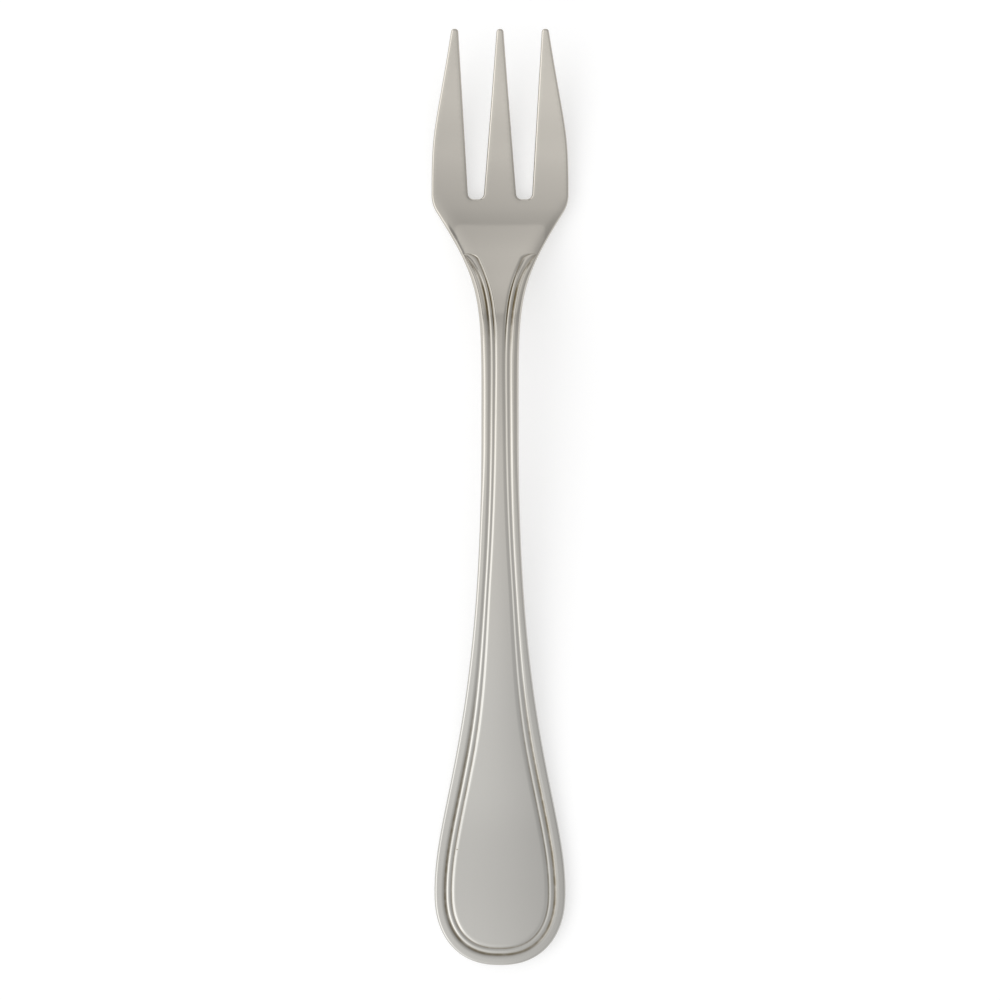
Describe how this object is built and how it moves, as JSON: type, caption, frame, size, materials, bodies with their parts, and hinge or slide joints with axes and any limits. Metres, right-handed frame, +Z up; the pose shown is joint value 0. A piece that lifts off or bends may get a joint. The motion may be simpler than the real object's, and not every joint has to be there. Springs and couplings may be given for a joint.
{
  "type": "cocktail fork",
  "caption": "Small table fork with a slim arched stem, a teardrop handle with a fine thread border, and a dished head with long tapering tines.",
  "frame": {"origin": "on the table, under the middle of the fork's length and width", "axes": "+Y along the fork from the handle end to the tine tips, +Z up from the table, +X across the fork to its right"},
  "size_m": [0.0216, 0.146, 0.01],
  "materials": {
    "polished_steel": "polished stainless steel, warm grey, with fine polishing lines and darker grooves"
  },
  "bodies": {
    "root": {"cocktail_fork": "polished_steel"}
  },
  "joints": []
}
